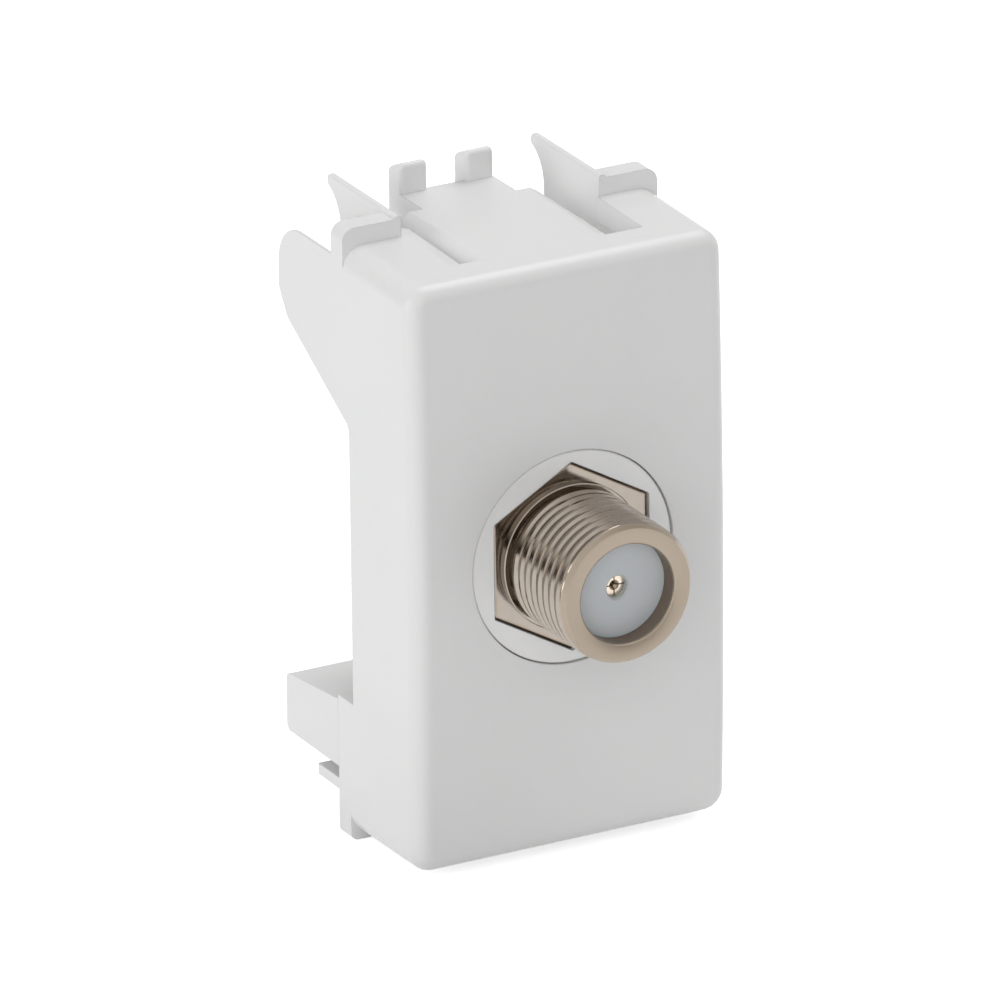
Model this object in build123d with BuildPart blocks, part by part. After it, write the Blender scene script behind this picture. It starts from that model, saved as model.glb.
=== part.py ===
from build123d import *
import os

# A single width antenna socket module for a wall frame: a white moulded housing
# with a threaded coaxial barrel clamped in a round carrier.
# Millimetres, +Z up, front towards -Y, origin where the barrel axis meets the front face.

# Housing front and walls
face_width = 22.8
face_height = 40.0
crown_rise = 0.4
rear_flare = 0.2
corner_radius = 1.5
rim_radius = 1.15
front_wall = 2.4
side_wall = 1.5
top_wall = 1.6
inner_corner_radius = 0.6

# Rear outline of the side walls
body_depth = 10.9
step_length = 1.6
waist_setback = 0.5
ear_thickness = 0.8
ear_bevel = 0.6
ear_depth = 18.2
ear_low = 8.1
ear_knee_setback = 1.1
ear_knee_height = 12.9
ear_shoulder_rise = 1.7
ear_tip_rise = 4.7
ear_top_radius = 3.0
ear_knee_radius = 1.2
ear_root_radius = 1.0

# Corner steps above and feet below
step_inner = 7.15
step_rise = 1.4
step_corner_radius = 0.9
foot_drop = 0.65
foot_corner_radius = 0.5

# Latch tongue, slots and tabs in the top wall
slot_start = 3.4
tongue_half_width = 5.6
tongue_gap = 0.2
tongue_fall = 0.12
groove_half_width = 7.05
groove_drop = 0.3
groove_brim_rise = 0.1
shoulder_width = 1.9
shoulder_drop = 1.5
shoulder_run = 0.6
shoulder_front_width = 1.5
shoulder_front_drop = 1.0
wing_rear = 13.5
neck_half_width = 3.4
tab_inner = 1.4
tab_front = 16.5
tab_thickness = 1.6
tab_foot = 0.4
tab_rise = 2.1
tab_top_fall = 0.7
tab_edge_radius = 0.35
tab_front_radius = 0.3

# Hook fins at the inner ends of the steps
fin_thickness = 0.5
fin_rise = 1.6
fin_tip_depth = 18.6
fin_tip_thickness = 0.65
fin_hollow_setback = 1.4
fin_hollow_drop = 1.65
fin_waist_setback = 1.85
fin_waist_drop = 3.0
fin_heel_drop = 5.0
fin_rib_drop = 7.2
fin_knee_setback = 8.6
fin_tip_radius = 0.45
fin_edge_radius = 0.2

# Rear crossbar and prongs
bar_top = -11.2
bar_height = 4.95
bar_top_fall = 0.95
bar_depth = 18.4
skirt_lip = 0.2
bar_inset = 0.15
bar_wall = 1.4
bar_top_radius = 0.6
bar_bottom_radius = 0.5
prong_length = 2.9
prong_gap = 0.7
prong_thickness = 0.75

# Barrel, after the standard coaxial thread and hexagon
thread_radius = 4.7625
thread_root_radius = 4.27
thread_pitch = 0.79375
crest_flat = 0.31
barrel_front = -7.3
barrel_rear = 16.3
barrel_end_radius = 4.45
barrel_end_chamfer = 0.3
thread_relief = 0.9
front_turns = 8
nut_turns = 5
plug_turns = 8
hex_across_flats = 11.11
hex_front = 0.35
hex_thickness = 2.95
hex_chamfer = 0.2
boss_radius = 4.95
boss_height = 0.3
bore_radius = 3.35
bore_lip = 0.2
web_front = 4.0
web_thickness = 1.0
web_radius = 2.6

# Insulating bushes and the spring contact
bush_recess = 1.4
bush_lid = 0.5
bush_hole_radius = 0.75
bush_hole_funnel = 0.12
contact_radius = 1.25
contact_finger_radius = 1.1
contact_finger_length = 6.0
contact_bore_radius = 0.5
contact_mouth_radius = 0.15
contact_funnel_radius = 0.35
contact_funnel_depth = 0.3
contact_tip_length = 1.2
contact_tip_rounding = 0.25
contact_slot_width = 0.08

# Carrier behind the front wall
carrier_face = 0.15
carrier_radius = 7.2
carrier_clearance = 0.06
carrier_rim_radius = 0.1
pocket_clearance = 0.07
pocket_corner_radius = 0.25
plate_thickness = 2.5
plate_half_height = 9.0
plate_clearance = 0.2
plate_corner_radius = 0.5
barrel_hole_clearance = 0.14

# Catches and ledges that hold the carrier plate
catch_reach = 0.55
catch_depth = 1.3
catch_half_height = 3.0
ledge_thickness = 0.8
ledge_half_width = 8.0
ledge_clearance = 0.15

# Washer and nut
washer_outer_radius = 6.7
washer_thickness = 0.7
washer_split = 0.5
nut_across_flats = 12.7
nut_thickness = 2.5
nut_face_radius = 6.2
nut_corner_radius = 7.4
nut_chamfer_depth = 0.5
nut_bore_chamfer = 0.35

# Positions that follow from the sizes above
half_width = face_width / 2
half_height = face_height / 2
inner_half_width = half_width - side_wall
inner_half_height = half_height - top_wall
rear_half_height = half_height + rear_flare
step_front = body_depth - step_length
step_top = half_height + step_rise
foot_bottom = -half_height - foot_drop
waist_depth = step_front - waist_setback
ear_knee_depth = ear_depth - ear_knee_setback
ear_shoulder_height = ear_knee_height + ear_shoulder_rise
ear_top = ear_shoulder_height + ear_tip_rise
ear_slope = (ear_knee_height - ear_low) / (ear_knee_depth - waist_depth)
slot_outer = tongue_half_width + tongue_gap
groove_brim = half_height + groove_brim_rise
cut_top = step_top
flare_slope = rear_flare / (body_depth - crown_rise)
slot_lift = flare_slope * (slot_start - crown_rise)
tongue_front_top = half_height + slot_lift
tongue_rear_top = half_height - tongue_fall
tab_top = half_height + tab_rise
tab_rear = tab_front + tab_thickness
tongue_rear = tab_front + tab_foot
fin_top = half_height + fin_rise
fin_tip_height = fin_top - fin_tip_thickness
fin_hollow_depth = fin_tip_depth - fin_hollow_setback
fin_hollow_height = fin_top - fin_hollow_drop
fin_waist_depth = fin_tip_depth - fin_waist_setback
fin_waist_height = fin_top - fin_waist_drop
fin_heel_height = fin_top - fin_heel_drop
fin_knee_depth = fin_tip_depth - fin_knee_setback
fin_rib_bottom = fin_top - fin_rib_drop
bar_bottom = bar_top - bar_height
skirt_top = bar_top + skirt_lip
prong_depth = body_depth + prong_length
prong_top = bar_bottom - prong_gap
prong_bottom = prong_top - prong_thickness
hex_rear = hex_front + hex_thickness
web_rear = web_front + web_thickness
plate_rear = front_wall + plate_thickness
plate_half_width = inner_half_width - plate_clearance
nut_front = plate_rear + washer_thickness
nut_rear = nut_front + nut_thickness
plug_thread_start = barrel_rear - barrel_end_chamfer - crest_flat - plug_turns * thread_pitch


def face_plane(depth):
    return Plane.XZ.offset(-depth)


def box_between(x_span, y_span, z_span, mode=Mode.ADD):
    spans = (x_span, y_span, z_span)
    with Locations(tuple(sum(span) / 2 for span in spans)):
        Box(*(span[1] - span[0] for span in spans), mode=mode)


def mirrored_boxes(x_span, y_span, z_span, mode=Mode.ADD):
    box_between(x_span, y_span, z_span, mode)
    box_between((-x_span[1], -x_span[0]), y_span, z_span, mode)


def edges_at(part, points):
    return [part.edges().sort_by_distance(point)[0] for point in points]


def thread_section(start, turns):
    # Flat crests with sharp roots between them
    points = []
    for turn in range(turns):
        crest = start + turn * thread_pitch
        points.append((thread_radius, crest))
        points.append((thread_radius, crest + crest_flat))
        points.append((thread_root_radius, crest + (thread_pitch + crest_flat) / 2))
    last_crest = start + turns * thread_pitch
    points.append((thread_radius, last_crest))
    points.append((thread_radius, last_crest + crest_flat))
    return points


# Ear of the left side wall, its rim bevelled on the inner side
with BuildPart() as ear:
    with BuildSketch(Plane.YZ.offset(-half_width)) as ear_outline:
        with BuildLine():
            Polyline(
                (step_front, ear_low + ear_slope * (step_front - waist_depth)),
                (ear_knee_depth, ear_knee_height),
                (ear_depth, ear_shoulder_height),
                (ear_depth, ear_top),
                (step_front, ear_top),
                close=True,
            )
        make_face()
        outline_corners = ear_outline.vertices()
        fillet(outline_corners.sort_by_distance((ear_depth, ear_top))[0], ear_top_radius)
        knee_points = [(ear_knee_depth, ear_knee_height), (ear_depth, ear_shoulder_height)]
        knee_corners = [ear_outline.vertices().sort_by_distance(p)[0] for p in knee_points]
        fillet(knee_corners, ear_knee_radius)
    extrude(amount=ear_thickness)
    inner_rim = ear.faces().sort_by(Axis.X)[-1].edges()
    chamfer([edge for edge in inner_rim if edge.center().Y > body_depth], length=ear_bevel)

# Right hook fin on its rib, with its crest rounded on both sides
with BuildPart() as fin:
    with BuildSketch(Plane.YZ.offset(step_inner)) as fin_outline:
        with BuildLine():
            Polyline(
                (fin_waist_depth, fin_waist_height),
                (fin_waist_depth, fin_heel_height),
                (fin_knee_depth, fin_rib_bottom),
                (front_wall, fin_rib_bottom),
                (front_wall, inner_half_height),
                (step_front, inner_half_height),
                (step_front, fin_top),
                (fin_tip_depth, fin_top),
                (fin_tip_depth, fin_tip_height),
            )
            ThreePointArc(
                (fin_tip_depth, fin_tip_height),
                (fin_hollow_depth, fin_hollow_height),
                (fin_waist_depth, fin_waist_height),
            )
        make_face()
        fin_tip = fin_outline.vertices().sort_by_distance((fin_tip_depth, fin_top))[0]
        fillet(fin_tip, radius=fin_tip_radius)
    extrude(amount=fin_thickness)
    fin_middle = ((step_front + fin_tip_depth) / 2, fin_top)
    fin_faces = (step_inner, step_inner + fin_thickness)
    fillet(edges_at(fin, [(face, *fin_middle) for face in fin_faces]), radius=fin_edge_radius)

# Housing: crowned front block with rounded corners and rim, hollowed from behind
with BuildPart() as housing:
    with BuildSketch(Plane.YZ):
        with BuildLine():
            ThreePointArc((crown_rise, -half_height), (0, 0), (crown_rise, half_height))
            Polyline(
                (crown_rise, half_height),
                (body_depth, rear_half_height),
                (body_depth, -rear_half_height),
                (crown_rise, -half_height),
            )
        make_face()
    extrude(amount=half_width, both=True)
    long_corners = [edge for edge in housing.edges() if abs(edge.tangent_at(0.5).Y) > 0.9]
    fillet(long_corners, radius=corner_radius)
    fillet(housing.faces().sort_by(Axis.Y)[0].edges(), radius=rim_radius)
    with BuildSketch(face_plane(front_wall)):
        RectangleRounded(2 * inner_half_width, 2 * inner_half_height, inner_corner_radius)
    extrude(amount=front_wall - body_depth, mode=Mode.SUBTRACT)

    # Side walls stop short between the ears and the lower skirt
    with BuildSketch(Plane.YZ) as waist:
        with BuildLine():
            Polyline(
                (waist_depth, skirt_top),
                (waist_depth, ear_low),
                (body_depth, ear_low + ear_slope * (body_depth - waist_depth)),
                (body_depth, skirt_top),
                close=True,
            )
        make_face()
        fillet(waist.vertices().sort_by_distance((waist_depth, ear_low))[0], ear_root_radius)
    extrude(amount=half_width, both=True, mode=Mode.SUBTRACT)

    # Ears carry each side wall on rearwards at the top
    add(ear.part)
    mirror(ear.part, about=Plane.YZ)

    # Square corner steps above and feet below
    mirrored_boxes(
        (step_inner, half_width), (step_front, body_depth), (inner_half_height, step_top)
    )
    mirrored_boxes(
        (step_inner, half_width), (step_front, body_depth), (foot_bottom, -inner_half_height)
    )
    step_middle = (step_front + body_depth) / 2
    step_corners = [(side * half_width, step_middle, step_top) for side in (-1, 1)]
    fillet(edges_at(housing, step_corners), radius=step_corner_radius)
    foot_corners = [(side * half_width, step_middle, foot_bottom) for side in (-1, 1)]
    fillet(edges_at(housing, foot_corners), radius=foot_corner_radius)

    # Slots that free the latch tongue, narrow on the left and wide up to the fin on the right
    slot_height = (inner_half_height, cut_top)
    mirrored_boxes(
        (tongue_half_width, slot_outer), (slot_start, body_depth), slot_height, mode=Mode.SUBTRACT
    )
    box_between(
        (slot_outer, groove_half_width), (slot_start, step_front), slot_height, mode=Mode.SUBTRACT
    )
    box_between(
        (slot_outer, step_inner), (step_front, body_depth), slot_height, mode=Mode.SUBTRACT
    )

    # The left slot has a sloped brim that follows the top wall
    for depth, lift in ((slot_start, slot_lift), (body_depth, rear_flare)):
        with BuildSketch(face_plane(depth)):
            with BuildLine():
                Polyline(
                    (-slot_outer, half_height + lift - groove_drop),
                    (-groove_half_width, groove_brim + lift),
                    (-groove_half_width, cut_top),
                    (-slot_outer, cut_top),
                    close=True,
                )
            make_face()
    loft(mode=Mode.SUBTRACT)

    # Rear of the tongue: wings and neck, its top falling rearwards
    tongue_span = (inner_half_height, rear_half_height)
    box_between((-tongue_half_width, tongue_half_width), (body_depth, wing_rear), tongue_span)
    box_between((-neck_half_width, neck_half_width), (wing_rear, tongue_rear), tongue_span)
    with BuildSketch(Plane.YZ):
        with BuildLine():
            Polyline(
                (slot_start, tongue_front_top),
                (tab_rear, tongue_rear_top),
                (tab_rear, cut_top),
                (slot_start, cut_top),
                close=True,
            )
        make_face()
    extrude(amount=slot_outer, both=True, mode=Mode.SUBTRACT)

    # Round shoulders along the tongue, fading out at its front end
    shoulder_full = slot_start + shoulder_run
    for side in (-1, 1):
        for depth, width, drop in (
            (slot_start, shoulder_front_width, shoulder_front_drop),
            (shoulder_full, shoulder_width, shoulder_drop),
        ):
            with BuildSketch(face_plane(depth)) as shoulder:
                crest = (side * (tongue_half_width - width), tongue_front_top)
                base = (side * tongue_half_width, tongue_front_top - drop)
                with BuildLine():
                    TangentArc(crest, base, tangent=(side, 0))
                    Polyline(base, (base[0], cut_top), (crest[0], cut_top), crest)
                make_face()
        loft(mode=Mode.SUBTRACT)
        extrude(shoulder.sketch, amount=shoulder_full - wing_rear, mode=Mode.SUBTRACT)

    # Two finger tabs with tops that fall rearwards
    tab_width = neck_half_width - tab_inner
    for side in (-1, 1):
        with BuildSketch(Plane.YZ.offset(side * (tab_inner + tab_width / 2))):
            with BuildLine():
                Polyline(
                    (tab_front, inner_half_height),
                    (tab_front, tab_top),
                    (tab_rear, tab_top - tab_top_fall),
                    (tab_rear, inner_half_height),
                    close=True,
                )
            make_face()
        extrude(amount=tab_width / 2, both=True)
    tab_middle = ((tab_front + tab_rear) / 2, tab_top - tab_top_fall / 2)
    tab_corners = [
        (side * reach, *tab_middle) for side in (-1, 1) for reach in (tab_inner, neck_half_width)
    ]
    fillet(edges_at(housing, tab_corners), radius=tab_edge_radius)
    tab_center = tab_inner + tab_width / 2
    tab_brows = [(side * tab_center, tab_front, tab_top) for side in (-1, 1)]
    fillet(edges_at(housing, tab_brows), radius=tab_front_radius)

    # Hook fins on ribs under the top wall
    add(fin.part)
    mirror(fin.part, about=Plane.YZ)

    # Hollow crossbar between the side walls low at the rear
    with BuildSketch(Plane.YZ) as bar:
        with BuildLine():
            Polyline(
                (waist_depth, bar_top),
                (bar_depth, bar_top - bar_top_fall),
                (bar_depth, bar_bottom),
                (waist_depth, bar_bottom),
                close=True,
            )
        make_face()
        for height, radius in ((bar_top, bar_top_radius), (bar_bottom, bar_bottom_radius)):
            fillet(bar.vertices().sort_by_distance((bar_depth, height))[0], radius)
    extrude(amount=half_width - bar_inset, both=True)
    box_between(
        (-inner_half_width, inner_half_width),
        (waist_depth, bar_depth - bar_wall),
        (bar_bottom + bar_wall, bar_top - bar_top_fall - bar_wall),
        mode=Mode.SUBTRACT,
    )
    mirrored_boxes(
        (inner_half_width, half_width), (body_depth, prong_depth), (prong_bottom, prong_top)
    )

    # Round opening for the carrier, and the catches and ledges that locate its plate
    with BuildSketch(face_plane(0)):
        Circle(carrier_radius + carrier_clearance)
    extrude(amount=-front_wall, both=True, mode=Mode.SUBTRACT)
    for side in (-1, 1):
        with BuildSketch(Plane.XY):
            with BuildLine():
                Polyline(
                    (side * inner_half_width, plate_rear),
                    (side * (inner_half_width - catch_reach), plate_rear),
                    (side * inner_half_width, plate_rear + catch_depth),
                    close=True,
                )
            make_face()
        extrude(amount=catch_half_height, both=True)
        ledge_start = plate_half_height + ledge_clearance
        ledge_span = sorted((side * ledge_start, side * (ledge_start + ledge_thickness)))
        box_between((-ledge_half_width, ledge_half_width), (front_wall, plate_rear), ledge_span)

# Carrier: round boss in the front opening on a plate behind the wall, with a hexagon pocket
with BuildPart() as carrier:
    with BuildSketch(face_plane(front_wall)):
        RectangleRounded(2 * plate_half_width, 2 * plate_half_height, plate_corner_radius)
    extrude(amount=-plate_thickness)
    with BuildSketch(face_plane(front_wall)):
        Circle(carrier_radius)
    extrude(amount=front_wall - carrier_face)
    fillet(carrier.faces().sort_by(Axis.Y)[0].edges(), radius=carrier_rim_radius)
    with BuildSketch(face_plane(hex_rear)) as pocket:
        pocket_radius = hex_across_flats / 2 + pocket_clearance
        RegularPolygon(pocket_radius, 6, major_radius=False, rotation=90)
        fillet(pocket.vertices(), radius=pocket_corner_radius)
    extrude(amount=hex_rear - carrier_face, mode=Mode.SUBTRACT)
    with BuildSketch(face_plane(hex_rear)):
        Circle(thread_radius + barrel_hole_clearance)
    extrude(amount=hex_rear - plate_rear, mode=Mode.SUBTRACT)

# Barrel: hexagon flange between its threads, bored from both ends. Behind the nut a
# narrow neck parts the nut's thread from the plug's.
with BuildPart() as barrel:
    with BuildSketch(face_plane(hex_front)):
        RegularPolygon(hex_across_flats / 2, 6, major_radius=False, rotation=90)
    extrude(amount=-hex_thickness)
    chamfer(barrel.faces().sort_by(Axis.Y)[0].edges(), length=hex_chamfer)
    with BuildSketch(face_plane(hex_front)):
        Circle(boss_radius)
    extrude(amount=boss_height)
    with BuildSketch(face_plane(0)):
        Circle(bore_radius)
    extrude(amount=-hex_rear, mode=Mode.SUBTRACT)
    front_thread = thread_section(barrel_front + barrel_end_chamfer, front_turns)
    nut_thread = thread_section(hex_rear + thread_relief, nut_turns)
    plug_thread = thread_section(plug_thread_start, plug_turns)
    with BuildSketch(Plane.XY):
        Polygon(
            (bore_radius + bore_lip, barrel_front),
            (barrel_end_radius, barrel_front),
            *front_thread,
            (thread_root_radius, front_thread[-1][1] + crest_flat),
            (thread_root_radius, nut_thread[0][1] - crest_flat),
            *nut_thread,
            (thread_root_radius, nut_thread[-1][1]),
            (thread_root_radius, plug_thread[0][1]),
            *plug_thread,
            (barrel_end_radius, barrel_rear),
            (bore_radius + bore_lip, barrel_rear),
            (bore_radius, barrel_rear - bore_lip),
            (bore_radius, web_rear),
            (web_radius, web_rear),
            (web_radius, web_front),
            (bore_radius, web_front),
            (bore_radius, barrel_front + bore_lip),
            align=None,
        )
    revolve(axis=Axis.Y)


def bush_section(lid_face, web_face):
    # Half section of a bush, open towards the web and with a small hole in its lid
    inward = 1 if web_face > lid_face else -1
    return [
        (bush_hole_radius + bush_hole_funnel, lid_face),
        (bore_radius, lid_face),
        (bore_radius, web_face),
        (contact_radius, web_face),
        (contact_radius, lid_face + inward * bush_lid),
        (bush_hole_radius, lid_face + inward * bush_lid),
        (bush_hole_radius, lid_face + inward * bush_hole_funnel),
    ]


# Bushes: one pressed in from each end against the web of the barrel
with BuildPart() as front_bush:
    with BuildSketch(Plane.XY):
        Polygon(*bush_section(barrel_front + bush_recess, web_front), align=None)
    revolve(axis=Axis.Y)

with BuildPart() as rear_bush:
    with BuildSketch(Plane.XY):
        Polygon(*bush_section(barrel_rear - bush_recess, web_rear), align=None)
    revolve(axis=Axis.Y)

# Contact: tube with slit spring fingers that close at both ends, between the bush lids
contact_front = barrel_front + bush_recess + bush_lid
contact_rear = barrel_rear - bush_recess - bush_lid
with BuildPart() as contact:
    with BuildSketch(Plane.XY):
        Polygon(
            (contact_funnel_radius, contact_front),
            (contact_finger_radius - contact_tip_rounding, contact_front),
            (contact_finger_radius, contact_front + contact_tip_rounding),
            (contact_finger_radius, contact_front + contact_finger_length),
            (contact_radius, contact_front + contact_finger_length),
            (contact_radius, contact_rear - contact_finger_length),
            (contact_finger_radius, contact_rear - contact_finger_length),
            (contact_finger_radius, contact_rear - contact_tip_rounding),
            (contact_finger_radius - contact_tip_rounding, contact_rear),
            (contact_funnel_radius, contact_rear),
            (contact_mouth_radius, contact_rear - contact_funnel_depth),
            (contact_bore_radius, contact_rear - contact_tip_length),
            (contact_bore_radius, contact_front + contact_tip_length),
            (contact_mouth_radius, contact_front + contact_funnel_depth),
            align=None,
        )
    revolve(axis=Axis.Y)
    half_slot = contact_slot_width / 2
    for slit in (
        (contact_front, contact_front + contact_finger_length),
        (contact_rear - contact_finger_length, contact_rear),
    ):
        box_between(
            (-contact_radius, contact_radius), slit, (-half_slot, half_slot), mode=Mode.SUBTRACT
        )
        box_between(
            (-half_slot, half_slot), slit, (-contact_radius, contact_radius), mode=Mode.SUBTRACT
        )

# Split washer behind the carrier plate
with BuildPart() as spring_washer:
    with BuildSketch(face_plane(plate_rear)):
        Circle(washer_outer_radius)
        Circle(thread_radius + barrel_hole_clearance, mode=Mode.SUBTRACT)
        with Locations((0, washer_outer_radius)):
            Rectangle(washer_split, washer_outer_radius, mode=Mode.SUBTRACT)
    extrude(amount=-washer_thickness)

# Nut that draws the hexagon flange into its pocket
with BuildPart() as hex_nut:
    with BuildSketch(face_plane(nut_front)):
        RegularPolygon(nut_across_flats / 2, 6, major_radius=False, rotation=90)
    extrude(amount=-nut_thickness)
    with BuildSketch(Plane.XY):
        Polygon(
            (0, nut_front),
            (nut_face_radius, nut_front),
            (nut_corner_radius, nut_front + nut_chamfer_depth),
            (nut_corner_radius, nut_rear - nut_chamfer_depth),
            (nut_face_radius, nut_rear),
            (0, nut_rear),
            align=None,
        )
    revolve(axis=Axis.Y, mode=Mode.INTERSECT)
    with BuildSketch(face_plane(nut_front)):
        Circle(thread_radius)
    extrude(amount=-nut_thickness, mode=Mode.SUBTRACT)
    chamfer(hex_nut.faces().filter_by(GeomType.CYLINDER).edges(), length=nut_bore_chamfer)

housing.part.label = "housing"
carrier.part.label = "carrier"
barrel.part.label = "barrel"
front_bush.part.label = "front_bush"
rear_bush.part.label = "rear_bush"
contact.part.label = "contact"
spring_washer.part.label = "spring_washer"
hex_nut.part.label = "hex_nut"

os.makedirs("parts", exist_ok=True)
export_step(housing.part, "parts/housing.step")
export_step(carrier.part, "parts/carrier.step")
export_step(barrel.part, "parts/barrel.step")
export_step(front_bush.part, "parts/front_bush.step")
export_step(rear_bush.part, "parts/rear_bush.step")
export_step(contact.part, "parts/contact.step")
export_step(spring_washer.part, "parts/spring_washer.step")
export_step(hex_nut.part, "parts/hex_nut.step")
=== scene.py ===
import math

import bmesh
import bpy
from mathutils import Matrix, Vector


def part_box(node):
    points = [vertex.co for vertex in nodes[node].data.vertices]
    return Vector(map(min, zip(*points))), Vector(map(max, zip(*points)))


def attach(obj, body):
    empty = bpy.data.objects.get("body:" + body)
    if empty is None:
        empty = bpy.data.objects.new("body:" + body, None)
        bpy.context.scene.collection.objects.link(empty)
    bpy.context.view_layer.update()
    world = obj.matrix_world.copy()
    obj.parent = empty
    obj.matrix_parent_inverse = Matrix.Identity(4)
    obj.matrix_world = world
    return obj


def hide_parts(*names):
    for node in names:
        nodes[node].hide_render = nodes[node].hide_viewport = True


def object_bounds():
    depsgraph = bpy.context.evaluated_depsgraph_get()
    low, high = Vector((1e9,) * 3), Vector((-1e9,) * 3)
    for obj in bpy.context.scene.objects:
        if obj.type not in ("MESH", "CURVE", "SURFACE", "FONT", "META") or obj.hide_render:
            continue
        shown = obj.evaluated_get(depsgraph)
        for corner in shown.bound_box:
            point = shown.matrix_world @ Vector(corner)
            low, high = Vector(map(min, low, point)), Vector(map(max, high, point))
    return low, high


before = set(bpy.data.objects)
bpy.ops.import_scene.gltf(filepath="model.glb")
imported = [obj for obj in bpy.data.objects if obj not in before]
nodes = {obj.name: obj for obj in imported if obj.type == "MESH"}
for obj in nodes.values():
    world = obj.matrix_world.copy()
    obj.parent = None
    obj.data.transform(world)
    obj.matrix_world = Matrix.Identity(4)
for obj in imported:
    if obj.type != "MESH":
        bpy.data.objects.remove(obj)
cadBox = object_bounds()
mm = 0.001
print("frame loaded:", ", ".join(sorted(nodes)))


# small helpers for the shader and geometry trees

def newMaterial(name):
    material = bpy.data.materials.new(name)
    material.use_nodes = True
    tree = material.node_tree
    tree.nodes.clear()
    return material, tree


def addNode(tree, kind, **values):
    # values with a socket's name go to that socket, the others are the node's own settings
    node = tree.nodes.new(kind)
    for key, value in values.items():
        if key in node.bl_rna.properties:
            setattr(node, key, value)
        else:
            node.inputs[key.replace("_", " ")].default_value = value
    return node


def mathNode(tree, operation, first, second=None):
    node = tree.nodes.new("ShaderNodeMath")
    node.operation = operation
    for index, value in enumerate((first, second)):
        if value is None:
            continue
        if isinstance(value, (int, float)):
            node.inputs[index].default_value = value
        else:
            tree.links.new(value, node.inputs[index])
    return node.outputs[0]


def mixColours(tree, factor, first, second):
    # factor is a socket, the colours are sockets or plain values
    node = tree.nodes.new("ShaderNodeMix")
    node.data_type = "RGBA"
    tree.links.new(factor, node.inputs["Factor"])
    for socket, value in ((node.inputs[6], first), (node.inputs[7], second)):
        if isinstance(value, (tuple, list)):
            socket.default_value = (*value, 1.0) if len(value) == 3 else value
        else:
            tree.links.new(value, socket)
    return node.outputs[2]


def remap(tree, value, fromMin, fromMax, toMin, toMax):
    node = addNode(
        tree, "ShaderNodeMapRange", From_Min=fromMin, From_Max=fromMax, To_Min=toMin, To_Max=toMax,
    )
    tree.links.new(value, node.inputs["Value"])
    return node.outputs["Result"]


def placeGroup(tree, group, **values):
    node = tree.nodes.new("ShaderNodeGroup")
    node.node_tree = group
    for key, value in values.items():
        node.inputs[key].default_value = value
    return node


def groupTree(name, inputs, outputs):
    group = bpy.data.node_groups.new(name, "ShaderNodeTree")
    for socketName, value in inputs.items():
        socket = group.interface.new_socket(name=socketName, in_out="INPUT", socket_type="NodeSocketFloat")
        socket.default_value = value
    for socketName, kind in outputs.items():
        group.interface.new_socket(name=socketName, in_out="OUTPUT", socket_type=kind)
    return group, group.nodes.new("NodeGroupInput"), group.nodes.new("NodeGroupOutput")


# shared effects

def makeMouldGrain():
    # fine spark texture of a mould and slow waviness of a thick wall, as a height and a mask
    group, given, result = groupTree(
        "mouldGrain",
        {"fineScale": 2600.0, "waveScale": 90.0, "fineShare": 0.5},
        {"height": "NodeSocketFloat", "patches": "NodeSocketFloat"},
    )
    place = addNode(group, "ShaderNodeTexCoord")
    fine = addNode(group, "ShaderNodeTexNoise", Detail=3.0, Roughness=0.55)
    wave = addNode(group, "ShaderNodeTexNoise", Detail=1.0, Roughness=0.4)
    for noise, scaleName in ((fine, "fineScale"), (wave, "waveScale")):
        group.links.new(place.outputs["Object"], noise.inputs["Vector"])
        group.links.new(given.outputs[scaleName], noise.inputs["Scale"])
    fineHeight = mathNode(group, "MULTIPLY", fine.outputs["Fac"], given.outputs["fineShare"])
    height = mathNode(group, "ADD", fineHeight, wave.outputs["Fac"])
    group.links.new(height, result.inputs["height"])
    group.links.new(wave.outputs["Fac"], result.inputs["patches"])
    return group


latheSettings = {
    "lengthwiseShare": 0.37,        # how close the lines lie on round walls, against end faces
    "mottleScale": 900.0,
}


def makeLatheLines():
    # turning marks: fine rings round the Y axis on end faces and along it on round walls
    group, given, result = groupTree(
        "latheLines",
        {"ringScale": 26000.0, "fade": 0.6},
        {"height": "NodeSocketFloat", "tone": "NodeSocketFloat"},
    )
    place = addNode(group, "ShaderNodeTexCoord")
    split = addNode(group, "ShaderNodeSeparateXYZ")
    group.links.new(place.outputs["Object"], split.inputs[0])
    across = mathNode(group, "MULTIPLY", split.outputs["X"], split.outputs["X"])
    upward = mathNode(group, "MULTIPLY", split.outputs["Z"], split.outputs["Z"])
    radius = mathNode(group, "SQRT", mathNode(group, "ADD", across, upward))
    lengthwise = mathNode(group, "MULTIPLY", split.outputs["Y"], latheSettings["lengthwiseShare"])
    path = mathNode(group, "ADD", radius, lengthwise)
    line = mathNode(group, "MULTIPLY", path, given.outputs["ringScale"])
    spiral = addNode(group, "ShaderNodeCombineXYZ")
    group.links.new(line, spiral.inputs["X"])
    noise = addNode(group, "ShaderNodeTexNoise", Scale=1.0, Detail=2.0, Roughness=0.6)
    group.links.new(spiral.outputs[0], noise.inputs["Vector"])
    mottle = addNode(
        group, "ShaderNodeTexNoise", Scale=latheSettings["mottleScale"], Detail=2.0, Roughness=0.5,
    )
    group.links.new(place.outputs["Object"], mottle.inputs["Vector"])
    weight = mathNode(group, "MULTIPLY", mottle.outputs["Fac"], given.outputs["fade"])
    height = mathNode(group, "MULTIPLY", noise.outputs["Fac"], weight)
    group.links.new(height, result.inputs["height"])
    group.links.new(mottle.outputs["Fac"], result.inputs["tone"])
    return group


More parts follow.
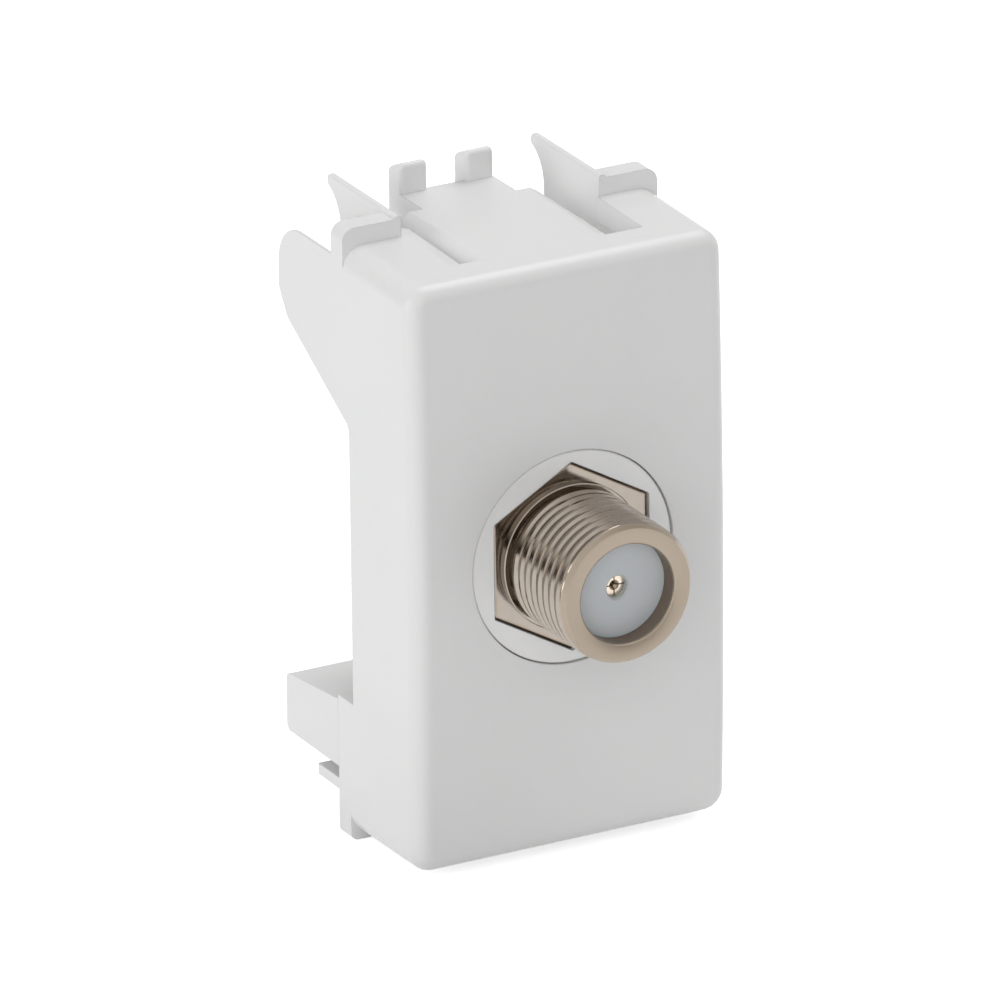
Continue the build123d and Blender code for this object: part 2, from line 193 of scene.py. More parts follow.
def makePaintedShade():
    # painted shade: dark in the thread's roots, where shade falls in the grooves, and on the hexagon's
    # rim, where shade falls in the gap round it;
    # the front end face has a mask of its own
    group, given, result = groupTree(
        "paintedShade",
        {
            "rootRadius": 0.0043, "crestRadius": 0.0047, "rimStart": 0.0052, "rimEnd": 0.0053,
            "rimShare": 0.8, "endFaceLimit": -0.007, "threadEnd": -0.0004,
        },
        {"mask": "NodeSocketFloat", "endFace": "NodeSocketFloat"},
    )
    place = addNode(group, "ShaderNodeTexCoord")
    split = addNode(group, "ShaderNodeSeparateXYZ")
    group.links.new(place.outputs["Object"], split.inputs[0])
    across, upward = split.outputs["X"], split.outputs["Z"]
    acrossSquare = mathNode(group, "MULTIPLY", across, across)
    upwardSquare = mathNode(group, "MULTIPLY", upward, upward)
    radius = mathNode(group, "SQRT", mathNode(group, "ADD", acrossSquare, upwardSquare))
    root = addNode(group, "ShaderNodeMapRange", To_Min=1.0, To_Max=0.0)
    group.links.new(radius, root.inputs["Value"])
    group.links.new(given.outputs["rootRadius"], root.inputs["From Min"])
    group.links.new(given.outputs["crestRadius"], root.inputs["From Max"])
    # distance to the nearest flat of a hexagon with flats left and right
    reach = mathNode(group, "ABSOLUTE", across)
    for lean in (math.pi / 3, -math.pi / 3):
        sideways = mathNode(group, "MULTIPLY", across, math.cos(lean))
        lifted = mathNode(group, "MULTIPLY", upward, math.sin(lean))
        slanted = mathNode(group, "ADD", sideways, lifted)
        reach = mathNode(group, "MAXIMUM", reach, mathNode(group, "ABSOLUTE", slanted))
    rim = addNode(group, "ShaderNodeMapRange")
    group.links.new(reach, rim.inputs["Value"])
    group.links.new(given.outputs["rimStart"], rim.inputs["From Min"])
    group.links.new(given.outputs["rimEnd"], rim.inputs["From Max"])
    rimMask = mathNode(group, "MULTIPLY", rim.outputs[0], given.outputs["rimShare"])
    behindEnd = mathNode(group, "GREATER_THAN", split.outputs["Y"], 0.0)
    group.links.new(given.outputs["endFaceLimit"], behindEnd.node.inputs[1])
    beforeNeck = mathNode(group, "LESS_THAN", split.outputs["Y"], 0.0)
    group.links.new(given.outputs["threadEnd"], beforeNeck.node.inputs[1])
    onThread = mathNode(group, "MULTIPLY", behindEnd, beforeNeck)
    rootMask = mathNode(group, "MULTIPLY", root.outputs[0], onThread)
    group.links.new(mathNode(group, "SUBTRACT", 1.0, behindEnd), result.inputs["endFace"])
    mask = mathNode(group, "MAXIMUM", rootMask, rimMask)
    group.links.new(mask, result.inputs["mask"])
    return group


mouldGrain = makeMouldGrain()
latheLines = makeLatheLines()
paintedShade = makePaintedShade()


# materials

whitePlasticSettings = {
    "colour": (0.80, 0.80, 0.80),
    "patchColour": (0.79, 0.79, 0.788),
    "roughness": (0.30, 0.38),
    "glowShare": 0.04,
    "glowDepth": 0.6 * mm,
    "edgeRadius": 0.12 * mm,
    "bump": 0.0025 * mm,
    "carrierToneAndLift": 1.16,           # the carrier's plastic is paler than the housing's: partly its own paler tone, partly painted light that lifts the shade the barrel casts on the round face
}


def makeWhitePlastic(name, shade):
    s = whitePlasticSettings
    material, tree = newMaterial(name)
    out = addNode(tree, "ShaderNodeOutputMaterial")
    shader = addNode(tree, "ShaderNodeBsdfPrincipled", IOR=1.49)
    shader.inputs["Subsurface Weight"].default_value = s["glowShare"]
    shader.inputs["Subsurface Scale"].default_value = s["glowDepth"]
    grain = placeGroup(tree, mouldGrain, fineScale=5200.0, waveScale=140.0, fineShare=0.35)
    plain, patch = [tuple(part * shade for part in s[key]) for key in ("colour", "patchColour")]
    colour = mixColours(tree, grain.outputs["patches"], plain, patch)
    tree.links.new(colour, shader.inputs["Base Color"])
    rough = remap(tree, grain.outputs["patches"], 0.35, 0.65, *s["roughness"])
    tree.links.new(rough, shader.inputs["Roughness"])
    soften = addNode(tree, "ShaderNodeBevel", samples=6, Radius=s["edgeRadius"])
    bump = addNode(tree, "ShaderNodeBump", Strength=0.6, Distance=s["bump"])
    tree.links.new(grain.outputs["height"], bump.inputs["Height"])
    tree.links.new(soften.outputs[0], bump.inputs["Normal"])
    tree.links.new(bump.outputs[0], shader.inputs["Normal"])
    tree.links.new(shader.outputs[0], out.inputs["Surface"])
    return material


platingSettings = {
    "light": (0.375, 0.334, 0.292),
    "warm": (0.31, 0.27, 0.232),
    # painted shade colour for the thread's roots and the hexagon's rim
    "paintedDark": (0.26, 0.19, 0.14),
    "paintedDarkShare": 0.7,
    "paintedDarkPlace": {
        "rootRadius": 4.26 * mm,
        "crestRadius": 4.5 * mm,
        "rimStart": 5.32 * mm,
        "rimEnd": 5.38 * mm,
        "rimShare": 0.6,
        "endFaceLimit": -7.02 * mm,
        "threadEnd": -0.45 * mm,
    },
    "ring": (0.345, 0.292, 0.235),
    "roughness": (0.10, 0.18),
    "ringRoughness": 0.42,
    "bump": 0.0016 * mm,
}


def makeNickelPlating():
    s = platingSettings
    material, tree = newMaterial("nickelPlating")
    out = addNode(tree, "ShaderNodeOutputMaterial")
    shader = addNode(tree, "ShaderNodeBsdfPrincipled", Metallic=1.0)
    lines = placeGroup(tree, latheLines, ringScale=26000.0, fade=0.7)
    unshadedTone = mixColours(tree, lines.outputs["tone"], s["light"], s["warm"])
    # painted shade: the plating darkens in the thread's roots and on the hexagon's rim
    paintedDark = placeGroup(tree, paintedShade, **s["paintedDarkPlace"])
    share = mathNode(tree, "MULTIPLY", paintedDark.outputs["mask"], s["paintedDarkShare"])
    shadedPlating = mixColours(tree, share, unshadedTone, s["paintedDark"])
    colour = mixColours(tree, paintedDark.outputs["endFace"], shadedPlating, s["ring"])
    tree.links.new(colour, shader.inputs["Base Color"])
    rough = remap(tree, lines.outputs["tone"], 0.3, 0.7, *s["roughness"])
    matte = mathNode(tree, "MULTIPLY", paintedDark.outputs["endFace"], s["ringRoughness"])
    tree.links.new(mathNode(tree, "MAXIMUM", rough, matte), shader.inputs["Roughness"])
    bump = addNode(tree, "ShaderNodeBump", Strength=0.5, Distance=s["bump"])
    tree.links.new(lines.outputs["height"], bump.inputs["Height"])
    tree.links.new(bump.outputs[0], shader.inputs["Normal"])
    tree.links.new(shader.outputs[0], out.inputs["Surface"])
    return material


insulatorSettings = {
    "deep": (0.56, 0.60, 0.625),
    "pale": (0.61, 0.64, 0.665),
    "roughness": (0.38, 0.5),
    "glowShare": 0.35,
    "glowDepth": 0.8 * mm,
    "bump": 0.003 * mm,
}


def makeMilkyInsulator():
    s = insulatorSettings
    material, tree = newMaterial("milkyInsulator")
    out = addNode(tree, "ShaderNodeOutputMaterial")
    shader = addNode(tree, "ShaderNodeBsdfPrincipled", IOR=1.45)
    shader.inputs["Subsurface Weight"].default_value = s["glowShare"]
    shader.inputs["Subsurface Scale"].default_value = s["glowDepth"]
    grain = placeGroup(tree, mouldGrain, fineScale=1800.0, waveScale=420.0, fineShare=0.2)
    colour = mixColours(tree, grain.outputs["patches"], s["deep"], s["pale"])
    tree.links.new(colour, shader.inputs["Base Color"])
    rough = remap(tree, grain.outputs["patches"], 0.3, 0.7, *s["roughness"])
    tree.links.new(rough, shader.inputs["Roughness"])
    bump = addNode(tree, "ShaderNodeBump", Strength=0.4, Distance=s["bump"])
    tree.links.new(grain.outputs["height"], bump.inputs["Height"])
    tree.links.new(bump.outputs[0], shader.inputs["Normal"])
    tree.links.new(shader.outputs[0], out.inputs["Surface"])
    return material


bronzeSettings = {
    "bright": (0.78, 0.70, 0.60),
    "brown": (0.62, 0.52, 0.40),
    "roughness": (0.22, 0.34),
}


def makeSpringBronze():
    s = bronzeSettings
    material, tree = newMaterial("springBronze")
    out = addNode(tree, "ShaderNodeOutputMaterial")
    shader = addNode(tree, "ShaderNodeBsdfPrincipled", Metallic=1.0)
    lines = placeGroup(tree, latheLines, ringScale=20000.0, fade=0.4)
    colour = mixColours(tree, lines.outputs["tone"], s["bright"], s["brown"])
    tree.links.new(colour, shader.inputs["Base Color"])
    rough = remap(tree, lines.outputs["tone"], 0.3, 0.7, *s["roughness"])
    tree.links.new(rough, shader.inputs["Roughness"])
    tree.links.new(shader.outputs[0], out.inputs["Surface"])
    return material


zincSettings = {
    "light": (0.60, 0.60, 0.58),
    "grey": (0.49, 0.49, 0.48),
    "roughness": (0.3, 0.45),
    "edgeRadius": 0.06 * mm,
    "bump": 0.002 * mm,
}


def makeZincSteel():
    s = zincSettings
    material, tree = newMaterial("zincSteel")
    out = addNode(tree, "ShaderNodeOutputMaterial")
    shader = addNode(tree, "ShaderNodeBsdfPrincipled", Metallic=1.0)
    lines = placeGroup(tree, latheLines, ringScale=9000.0, fade=0.9)
    colour = mixColours(tree, lines.outputs["tone"], s["light"], s["grey"])
    tree.links.new(colour, shader.inputs["Base Color"])
    rough = remap(tree, lines.outputs["tone"], 0.3, 0.7, *s["roughness"])
    tree.links.new(rough, shader.inputs["Roughness"])
    soften = addNode(tree, "ShaderNodeBevel", samples=4, Radius=s["edgeRadius"])
    bump = addNode(tree, "ShaderNodeBump", Strength=0.5, Distance=s["bump"])
    tree.links.new(lines.outputs["height"], bump.inputs["Height"])
    tree.links.new(soften.outputs[0], bump.inputs["Normal"])
    tree.links.new(bump.outputs[0], shader.inputs["Normal"])
    tree.links.new(shader.outputs[0], out.inputs["Surface"])
    return material


whitePlastic = makeWhitePlastic("whitePlastic", 1.0)
# painted light: the carrier's colour is raised to lift the shade the barrel casts on it, on top of its own
# paler tone
carrierPlastic = makeWhitePlastic("carrierPlastic", whitePlasticSettings["carrierToneAndLift"])
nickelPlating = makeNickelPlating()
milkyInsulator = makeMilkyInsulator()
springBronze = makeSpringBronze()
zincSteel = makeZincSteel()
print("materials made")


def dress(name, material):
    mesh = nodes[name].data
    mesh.materials.clear()
    mesh.materials.append(material)


dress("housing", whitePlastic)
dress("carrier", carrierPlastic)
dress("barrel", nickelPlating)
dress("hex_nut", nickelPlating)
dress("front_bush", milkyInsulator)
dress("rear_bush", milkyInsulator)
dress("contact", springBronze)
dress("spring_washer", zincSteel)


# barrel with real helical threads, in place of the solid with closed grooves

def surfaceObject(name, rings, material, closed=True):
    # rings are lists of points with the same count; neighbours are joined by quads
    mesh = bpy.data.meshes.new(name)
    count = len(rings[0])
    points = [point for ring in rings for point in ring]
    faces = []
    last = len(rings) if closed else len(rings) - 1
    for row in range(last):
        nextRow = (row + 1) % len(rings)
        for column in range(count):
            nextColumn = (column + 1) % count
            faces.append((
                row * count + column,
                row * count + nextColumn,
                nextRow * count + nextColumn,
                nextRow * count + column,
            ))
    mesh.from_pydata(points, [], faces)
    mesh.materials.append(material)
    piece = bpy.data.objects.new(name, mesh)
    bpy.context.scene.collection.objects.link(piece)
    return piece


def turnedRings(profile, steps):
    # profile is (radius, depth) pairs about the Y axis
    rings = []
    for radius, depth in profile:
        ring = []
        for step in range(steps):
            angle = 2 * math.pi * step / steps
            ring.append((radius * math.sin(angle), depth, radius * math.cos(angle)))
        rings.append(ring)
    return rings


barrelLow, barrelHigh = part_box("barrel")
threadSettings = {
    "crestRadius": 4.7625 * mm,
    "rootRadius": 4.29 * mm,
    "pitch": 0.79375 * mm,
    "crestShare": 0.125,
    "rootShare": 0.0625,
    "endRadius": 4.45 * mm,
    "endChamfer": 0.3 * mm,
    "runOut": 0.5 * mm,
    "stepsRound": 144,
    "rowsPerTurn": 16,
}


def threadTree():
    # a grid rolled round the Y axis; its rows follow the helix and its radius the thread's form
    tree = bpy.data.node_groups.new("threadTree", "GeometryNodeTree")
    tree.interface.new_socket(name="Geometry", in_out="OUTPUT", socket_type="NodeSocketGeometry")
    for name, value in (
        ("start", 0.0), ("end", 0.006), ("pitch", 0.00079), ("turns", 9.0),
        ("crestRadius", 0.00476), ("rootRadius", 0.00427), ("crestShare", 0.125), ("rootShare", 0.0625),
        ("frontRadius", 0.00445), ("frontLead", 0.0003), ("rearRadius", 0.00429), ("rearLead", 0.0005),
    ):
        socket = tree.interface.new_socket(name=name, in_out="INPUT", socket_type="NodeSocketFloat")
        socket.default_value = value
    for name, value in (("stepsRound", 144), ("rowsPerTurn", 16)):
        socket = tree.interface.new_socket(name=name, in_out="INPUT", socket_type="NodeSocketInt")
        socket.default_value = value
    socket = tree.interface.new_socket(name="finish", in_out="INPUT", socket_type="NodeSocketMaterial")
    given = tree.nodes.new("NodeGroupInput")
    result = tree.nodes.new("NodeGroupOutput")

    def calc(operation, *values):
        node = tree.nodes.new("ShaderNodeMath")
        node.operation = operation
        for index, value in enumerate(values):
            if isinstance(value, str):
                tree.links.new(given.outputs[value], node.inputs[index])
            elif isinstance(value, (int, float)):
                node.inputs[index].default_value = value
            else:
                tree.links.new(value, node.inputs[index])
        return node.outputs[0]

    grid = tree.nodes.new("GeometryNodeMeshGrid")
    grid.inputs["Size X"].default_value = 1.0
    grid.inputs["Size Y"].default_value = 1.0
    rows = calc("ADD", calc("MULTIPLY", "turns", "rowsPerTurn"), 1.0)
    columns = calc("ADD", "stepsRound", 1.0)
    tree.links.new(columns, grid.inputs["Vertices X"])
    tree.links.new(rows, grid.inputs["Vertices Y"])
    position = tree.nodes.new("GeometryNodeInputPosition")
    split = tree.nodes.new("ShaderNodeSeparateXYZ")
    tree.links.new(position.outputs[0], split.inputs[0])
    turnShare = calc("ADD", split.outputs["X"], 0.5)
    along = calc("ADD", split.outputs["Y"], 0.5)
    span = calc("MULTIPLY", "turns", "pitch")
    helixDepth = calc("ADD", calc("MULTIPLY", along, span), calc("MULTIPLY", turnShare, "pitch"))
    depth = calc("SUBTRACT", calc("ADD", helixDepth, "start"), "pitch")
    depth = calc("MINIMUM", calc("MAXIMUM", depth, "start"), "end")
    pitches = calc("DIVIDE", calc("SUBTRACT", depth, "start"), "pitch")
    phase = calc("FRACT", calc("SUBTRACT", pitches, turnShare))
    # height is 1 on the crest and 0 in the root, with straight flanks between
    fromCrest = calc("ABSOLUTE", calc("SUBTRACT", phase, 0.5))
    flank = calc("SUBTRACT", calc("SUBTRACT", 0.5, "crestShare"), "rootShare")
    height = calc("DIVIDE", calc("SUBTRACT", calc("SUBTRACT", 0.5, fromCrest), "rootShare"), flank)
    height = calc("MINIMUM", calc("MAXIMUM", height, 0.0), 1.0)
    depthOfThread = calc("SUBTRACT", "crestRadius", "rootRadius")
    radius = calc("ADD", "rootRadius", calc("MULTIPLY", height, depthOfThread))
    for end, lead in (("start", "front"), ("end", "rear")):
        away = calc("ABSOLUTE", calc("SUBTRACT", depth, end))
        slope = calc("DIVIDE", calc("SUBTRACT", "crestRadius", lead + "Radius"), lead + "Lead")
        limit = calc("ADD", lead + "Radius", calc("MULTIPLY", away, slope))
        radius = calc("MINIMUM", radius, limit)
        fall = calc("DIVIDE", calc("SUBTRACT", lead + "Radius", "rootRadius"), lead + "Lead")
        collar = calc("SUBTRACT", lead + "Radius", calc("MULTIPLY", away, fall))
        radius = calc("MAXIMUM", radius, collar)
    angle = calc("MULTIPLY", turnShare, 2 * math.pi)
    place = tree.nodes.new("ShaderNodeCombineXYZ")
    tree.links.new(calc("MULTIPLY", radius, calc("SINE", angle)), place.inputs["X"])
    tree.links.new(depth, place.inputs["Y"])
    tree.links.new(calc("MULTIPLY", radius, calc("COSINE", angle)), place.inputs["Z"])
    setPlace = tree.nodes.new("GeometryNodeSetPosition")
    tree.links.new(grid.outputs["Mesh"], setPlace.inputs["Geometry"])
    tree.links.new(place.outputs[0], setPlace.inputs["Position"])
    realize = tree.nodes.new("GeometryNodeRealizeInstances")
    tree.links.new(setPlace.outputs[0], realize.inputs[0])
    paint = tree.nodes.new("GeometryNodeSetMaterial")
    tree.links.new(realize.outputs[0], paint.inputs["Geometry"])
    tree.links.new(given.outputs["finish"], paint.inputs["Material"])
    tree.links.new(paint.outputs[0], result.inputs[0])
    return tree


def grownMesh(name, tree, values):
    # runs a geometry tree once and gives its result as a plain mesh
    seedMesh = bpy.data.meshes.new(name + "Seed")
    seed = bpy.data.objects.new(name + "Seed", seedMesh)
    bpy.context.scene.collection.objects.link(seed)
    modifier = seed.modifiers.new("grow", "NODES")
    modifier.node_group = tree
    for item in tree.interface.items_tree:
        if item.item_type == "SOCKET" and item.in_out == "INPUT" and item.name in values:
            modifier[item.identifier] = values[item.name]
    graph = bpy.context.evaluated_depsgraph_get()
    graph.update()
    mesh = bpy.data.meshes.new_from_object(seed.evaluated_get(graph))
    seed.modifiers.remove(modifier)
    bpy.data.objects.remove(seed)
    bpy.data.meshes.remove(seedMesh)
    mesh.name = name
    return mesh


threadMaker = threadTree()


def threadMesh(name, start, end, frontEnd, rearEnd):
    # frontEnd and rearEnd are (radius, lead) of the chamfer or run-out there
    t = threadSettings
    return grownMesh(name, threadMaker, {
        "start": start, "end": end, "pitch": t["pitch"],
        "crestRadius": t["crestRadius"], "rootRadius": t["rootRadius"],
        "crestShare": t["crestShare"], "rootShare": t["rootShare"],
        "frontRadius": frontEnd[0], "frontLead": frontEnd[1],
        "rearRadius": rearEnd[0], "rearLead": rearEnd[1],
        "turns": float(math.ceil((end - start) / t["pitch"]) + 1),
        "stepsRound": t["stepsRound"], "rowsPerTurn": t["rowsPerTurn"],
        "finish": nickelPlating,
    })


def helixStrip(work, name, start, end, frontEnd, rearEnd):
    # adds one thread's surface to the barrel's mesh; both of its rims are plain circles
    mesh = threadMesh(name, start, end, frontEnd, rearEnd)
    work.from_mesh(mesh)
    bpy.data.meshes.remove(mesh)


barrelSettings = {
    "frontThreadEnd": -0.04 * mm,
    "nutThread": (3.85 * mm, 8.55 * mm),
    "plugThreadStart": 9.1 * mm,
    "boreRadius": 3.35 * mm,
    "boreLip": 0.2 * mm,
    "endEdge": 0.05 * mm,
    "web": (4.0 * mm, 5.0 * mm, 2.6 * mm),      # front, rear and bore radius
    "stepsRound": 144,
    "mergeDistance": 0.0008 * mm,
    "sharpAngle": math.radians(38),
}
hexagonSettings = {
    "apothem": 5.555 * mm,
    "front": 0.35 * mm,
    "rear": 3.3 * mm,
    "rimInset": 0.18 * mm,
    "rimDepth": 0.12 * mm,
    "rimSteps": 5,
    "bossRadius": 4.95 * mm,
    "bossHeight": 0.3 * mm,
    "bossEdge": 0.06 * mm,
    "coreRadius": 3.9 * mm,
    "sideEdge": 0.14 * mm,
    "cornerAngle": 0.9,             # radians; the edges between two flats turn by more than this
    "cornerLength": 1.5 * mm,
}


def ringOf(radiusAt, depth, steps):
    # one ring of points; radiusAt gives the radius at each angle from the top
    ring = []
    for step in range(steps):
        angle = 2 * math.pi * step / steps
        radius = radiusAt(angle)
        ring.append((radius * math.sin(angle), depth, radius * math.cos(angle)))
    return ring


def circleOf(radius):
    return lambda angle: radius


def hexagonOf(apothem):
    # a hexagon with a corner at the top
    return lambda angle: apothem / math.cos(angle % (math.pi / 3) - math.pi / 6)


def makeHexagon():
    h, steps = hexagonSettings, barrelSettings["stepsRound"]
    bossFront = h["front"] - h["bossHeight"]
    rings = [
        ringOf(circleOf(h["coreRadius"]), bossFront, steps),
        ringOf(circleOf(h["bossRadius"] - h["bossEdge"]), bossFront, steps),
        ringOf(circleOf(h["bossRadius"]), bossFront + h["bossEdge"], steps),
        ringOf(circleOf(h["bossRadius"]), h["front"], steps),
    ]
    for step in range(h["rimSteps"] + 1):
        turn = math.pi / 2 * step / h["rimSteps"]
        inset = h["rimInset"] * (1 - math.sin(turn))
        depth = h["front"] + h["rimDepth"] * (1 - math.cos(turn))
        rings.append(ringOf(hexagonOf(h["apothem"] - inset), depth, steps))
    rings.append(ringOf(hexagonOf(h["apothem"]), h["rear"] - h["bossEdge"], steps))
    rings.append(ringOf(hexagonOf(h["apothem"] - h["bossEdge"]), h["rear"], steps))
    rings.append(ringOf(circleOf(h["coreRadius"]), h["rear"], steps))
    piece = surfaceObject("hexagonFlange", rings, nickelPlating)
    work = bmesh.new()
    work.from_mesh(piece.data)
    bmesh.ops.recalc_face_normals(work, faces=work.faces)
    corners = []
    for edge in work.edges:
        length = abs(edge.verts[0].co.y - edge.verts[1].co.y)
        if edge.calc_face_angle(0) > h["cornerAngle"] and length > h["cornerLength"]:
            corners.append(edge)
    bmesh.ops.bevel(work, geom=corners, offset=h["sideEdge"], segments=3, profile=0.5, affect="EDGES")
    work.to_mesh(piece.data)
    work.free()
    return piece


def takeMesh(work, piece):
    # moves a piece's faces into the mesh at work and removes the piece
    mesh = piece.data
    work.from_mesh(mesh)
    bpy.data.objects.remove(piece)
    bpy.data.meshes.remove(mesh)


def makeBarrel():
    b, t = barrelSettings, threadSettings
    front, rear, steps = barrelLow.y, barrelHigh.y, b["stepsRound"]
    bore, lip, edge = b["boreRadius"], b["boreLip"], b["endEdge"]
    neck, end = t["rootRadius"], t["endRadius"]
    webFront, webRear, webRadius = b["web"]
    inside = [
        (end, front),
        (end - edge, front),
        (bore + lip, front),
        (bore + lip / 3, front + lip / 3),
        (bore, front + lip),
        (bore, webFront),
        (webRadius, webFront),
        (webRadius, webRear),
        (bore, webRear),
        (bore, rear - lip),
        (bore + lip / 3, rear - lip / 3),
        (bore + lip, rear),
        (end - edge, rear),
        (end, rear),
    ]
    necks = [
        [(neck, b["frontThreadEnd"]), (neck, b["nutThread"][0])],
        [(neck, b["nutThread"][1]), (neck, b["plugThreadStart"])],
    ]
    work = bmesh.new()
    for profile in [inside] + necks:
        strip = surfaceObject("strip", turnedRings(profile, steps), nickelPlating, closed=False)
        takeMesh(work, strip)
    chamfer, runOut = (end, t["endChamfer"]), (neck, t["runOut"])
    helixStrip(work, "frontThread", front, b["frontThreadEnd"], chamfer, runOut)
    helixStrip(work, "nutThread", *b["nutThread"], runOut, runOut)
    helixStrip(work, "plugThread", b["plugThreadStart"], rear, runOut, chamfer)
    bmesh.ops.remove_doubles(work, verts=work.verts, dist=b["mergeDistance"])
    bmesh.ops.recalc_face_normals(work, faces=work.faces)
    openEdges = [edge for edge in work.edges if len(edge.link_faces) != 2]
    print("barrel: open edges", len(openEdges), "faces", len(work.faces))
    takeMesh(work, makeHexagon())
    mesh = bpy.data.meshes.new("turnedBarrel")
    work.to_mesh(mesh)
    work.free()
    mesh.materials.append(nickelPlating)
    mesh.shade_smooth()
    mesh.set_sharp_from_angle(angle=b["sharpAngle"])
    piece = bpy.data.objects.new("turnedBarrel", mesh)
    bpy.context.scene.collection.objects.link(piece)
    return piece


turnedBarrel = makeBarrel()
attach(turnedBarrel, "root")
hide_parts("barrel")
print("barrel turned")


# stage, light and camera

stageSettings = {
    "floorSize": 1.6,
    "floorGap": 0.05 * mm,
    "floorColour": (0.80, 0.80, 0.80),
    "floorPatch": 0.985,            # the patches' share of the floor's colour
    "seenColour": (1.0, 1.0, 1.0),
    "seenGlow": 0.62,
    "worldGlow": 0.374,
}


def throughEyes(tree):
    # 1 for camera, glossy and transmission rays, 0 for the light that falls on the object
    path = addNode(tree, "ShaderNodeLightPath")
    seen = mathNode(tree, "MAXIMUM", path.outputs["Is Camera Ray"], path.outputs["Is Glossy Ray"])
    return mathNode(tree, "MAXIMUM", seen, path.outputs["Is Transmission Ray"])


def makeFloor():
    s = stageSettings
    size = s["floorSize"]
    height = cadBox[0][2] - s["floorGap"]
    mesh = bpy.data.meshes.new("studioFloor")
    corners = [(-size, -size, height), (size, -size, height), (size, size, height), (-size, size, height)]
    mesh.from_pydata(corners, [], [(0, 1, 2, 3)])
    material, tree = newMaterial("paleFloor")
    out = addNode(tree, "ShaderNodeOutputMaterial")
    seen = throughEyes(tree)
    place = addNode(tree, "ShaderNodeTexCoord")
    mottle = addNode(tree, "ShaderNodeTexNoise", Scale=6.0, Detail=2.0)
    tree.links.new(place.outputs["Object"], mottle.inputs["Vector"])
    patch = tuple(s["floorPatch"] * part for part in s["floorColour"])
    plain = mixColours(tree, mottle.outputs["Fac"], s["floorColour"], patch)
    plainFloor = addNode(tree, "ShaderNodeBsdfDiffuse")
    tree.links.new(plain, plainFloor.inputs["Color"])
    seenFloor = addNode(tree, "ShaderNodeBsdfDiffuse")
    seenFloor.inputs["Color"].default_value = (*s["seenColour"], 1.0)
    glow = addNode(tree, "ShaderNodeEmission", Strength=s["seenGlow"])
    both = addNode(tree, "ShaderNodeAddShader")
    tree.links.new(seenFloor.outputs[0], both.inputs[0])
    tree.links.new(glow.outputs[0], both.inputs[1])
    choose = addNode(tree, "ShaderNodeMixShader")
    tree.links.new(seen, choose.inputs[0])
    tree.links.new(plainFloor.outputs[0], choose.inputs[1])
    tree.links.new(both.outputs[0], choose.inputs[2])
    tree.links.new(choose.outputs[0], out.inputs["Surface"])
    mesh.materials.append(material)
    floor = bpy.data.objects.new("studioFloor", mesh)
    bpy.context.scene.collection.objects.link(floor)


def makeWorld():
    world = bpy.data.worlds.new("studioWorld")
    world.use_nodes = True
    tree = world.node_tree
    tree.nodes.clear()
    out = addNode(tree, "ShaderNodeOutputWorld")
    background = addNode(tree, "ShaderNodeBackground")
    background.inputs["Color"].default_value = (1.0, 1.0, 1.0, 1.0)
    level = remap(tree, throughEyes(tree), 0.0, 1.0, stageSettings["worldGlow"], 1.0)
    tree.links.new(level, background.inputs["Strength"])
    tree.links.new(background.outputs[0], out.inputs["Surface"])
    bpy.context.scene.world = world


def addLamp(name, size, place, power, colour):
    lamp = bpy.data.lights.new(name, "AREA")
    lamp.shape = "RECTANGLE"
    lamp.size, lamp.size_y = size
    lamp.energy = power
    lamp.color = colour
    piece = bpy.data.objects.new(name, lamp)
    piece.location = place
    piece.rotation_euler = (-Vector(place)).to_track_quat("-Z", "Y").to_euler()
    bpy.context.scene.collection.objects.link(piece)
    return piece


lampSettings = {
    "keyPlace": (-0.76, 0.05, 0.2),
    "keySize": (0.5, 0.5),
    "keyPower": 2.05,
    "topPlace": (0.28, 0.11, 0.56),
    "topSize": (0.45, 0.45),
    "topPower": 1.75,
    "frontPlace": (-0.55, -1.02, 0.46),
    "frontSize": (1.0, 1.0),
    "frontPower": 4.0,
    "colour": (1.0, 1.0, 1.0),
}


def makeLamps():
    s = lampSettings
    for name in ("key", "top", "front"):
        lamp = addLamp(name + "Lamp", s[name + "Size"], s[name + "Place"], s[name + "Power"], s["colour"])
        # the metal mirrors the flag card, not the front lamp behind it
        lamp.visible_glossy = name != "front"


flagSettings = {
    "distance": 0.35,
    "from": math.radians(-42),      # measured from straight ahead, to the right
    "to": math.radians(50),
    "low": math.radians(-16),
    "high": math.radians(42),
    "steps": 12,
    "dark": (0.02, 0.014, 0.01),
    "pale": (0.95, 0.93, 0.90),
    "aside": (0.50, 0.47, 0.45),
    "glow": 1.3,
    "lift": (0.05, 0.26),           # heights between which dark turns pale, as shares of the distance
    "sideStep": (0.1, 0.38),        # likewise to the right, where pale turns grey
}


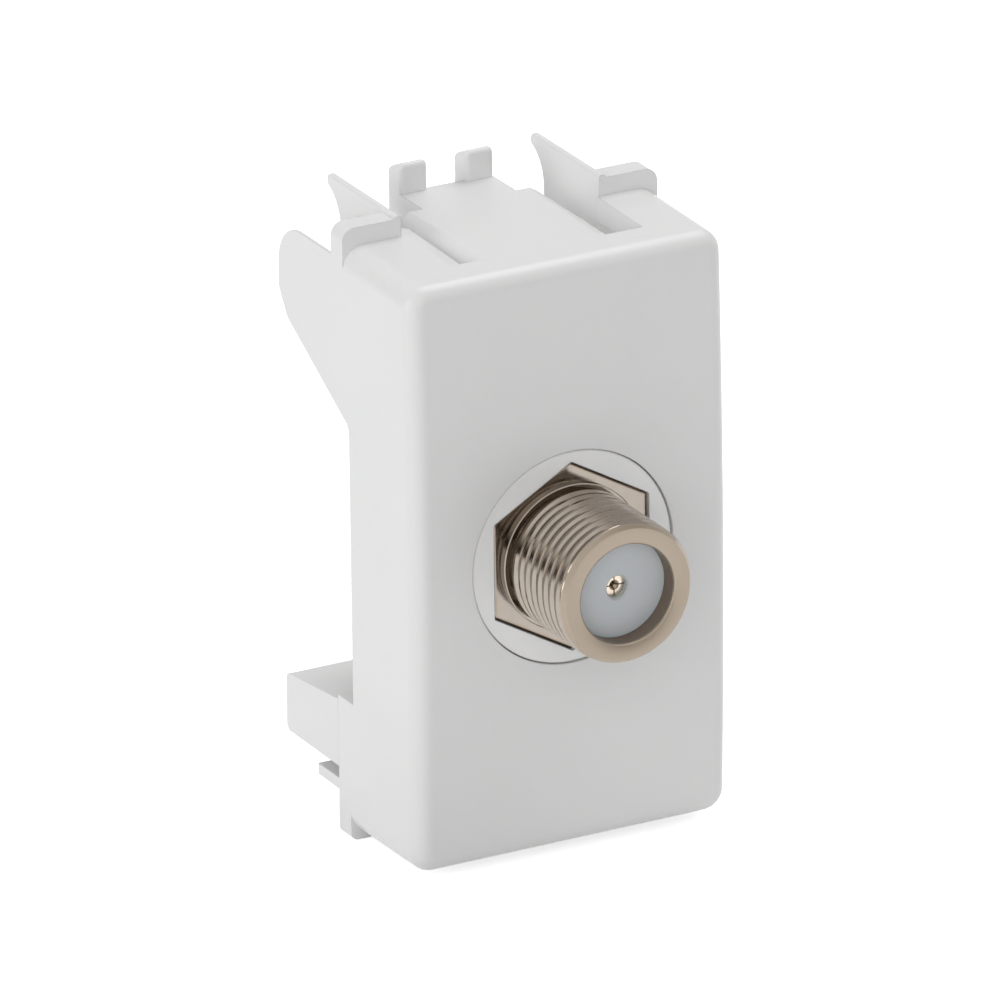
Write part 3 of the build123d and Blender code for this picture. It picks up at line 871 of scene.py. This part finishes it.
def makeFlag():
    # card ahead that mainly the polished metal mirrors: dark low down, pale higher, grey on the right
    f = flagSettings
    steps, distance = f["steps"], f["distance"]
    points, faces = [], []
    for row in range(steps + 1):
        tilt = f["low"] + (f["high"] - f["low"]) * row / steps
        for column in range(steps + 1):
            turn = f["from"] + (f["to"] - f["from"]) * column / steps
            flat = distance * math.cos(tilt)
            points.append((flat * math.sin(turn), -flat * math.cos(turn), distance * math.sin(tilt)))
    for row in range(steps):
        for column in range(steps):
            corner = row * (steps + 1) + column
            faces.append((corner, corner + 1, corner + steps + 2, corner + steps + 1))
    mesh = bpy.data.meshes.new("flagCard")
    mesh.from_pydata(points, [], faces)
    material, tree = newMaterial("flagCloth")
    out = addNode(tree, "ShaderNodeOutputMaterial")
    place = addNode(tree, "ShaderNodeTexCoord")
    split = addNode(tree, "ShaderNodeSeparateXYZ")
    tree.links.new(place.outputs["Object"], split.inputs[0])
    lift = remap(tree, split.outputs["Z"], *(distance * share for share in f["lift"]), 0.0, 1.0)
    turned = remap(tree, split.outputs["X"], *(distance * share for share in f["sideStep"]), 0.0, 1.0)
    upper = mixColours(tree, turned, f["pale"], f["aside"])
    cloth = addNode(tree, "ShaderNodeEmission", Strength=f["glow"])
    tree.links.new(mixColours(tree, lift, f["dark"], upper), cloth.inputs["Color"])
    tree.links.new(cloth.outputs[0], out.inputs["Surface"])
    mesh.materials.append(material)
    card = bpy.data.objects.new("flagCard", mesh)
    bpy.context.scene.collection.objects.link(card)
    card.visible_camera = False
    card.visible_diffuse = False
    card.visible_shadow = False
    card.visible_transmission = False


cameraSettings = {
    "azimuth": math.radians(-28.056),
    "elevation": math.radians(21.818),
    "roll": math.radians(-0.691),
    "distance": 1.0,
    "lens": 567.13,
    "sensor": 36.0,
    "target": (-5.03 * mm, 0.4 * mm, 4.795 * mm),
    "seenRange": (0.01, 20.0),
}


def makeCamera():
    s = cameraSettings
    flat = math.cos(s["elevation"])
    back = Vector((
        math.sin(s["azimuth"]) * flat,
        -math.cos(s["azimuth"]) * flat,
        math.sin(s["elevation"]),
    ))
    lens = bpy.data.cameras.new("productCamera")
    lens.sensor_width = s["sensor"]
    lens.lens = s["lens"]
    lens.clip_start, lens.clip_end = s["seenRange"]
    camera = bpy.data.objects.new("productCamera", lens)
    camera.location = Vector(s["target"]) + back * s["distance"]
    camera.rotation_euler = back.to_track_quat("Z", "Y").to_euler()
    camera.rotation_euler.rotate_axis("Z", s["roll"])
    bpy.context.scene.collection.objects.link(camera)
    bpy.context.scene.camera = camera


makeFloor()
makeWorld()
makeLamps()
makeFlag()
makeCamera()
bpy.context.scene.view_settings.view_transform = "Standard"
print("stage, lamps and camera set")
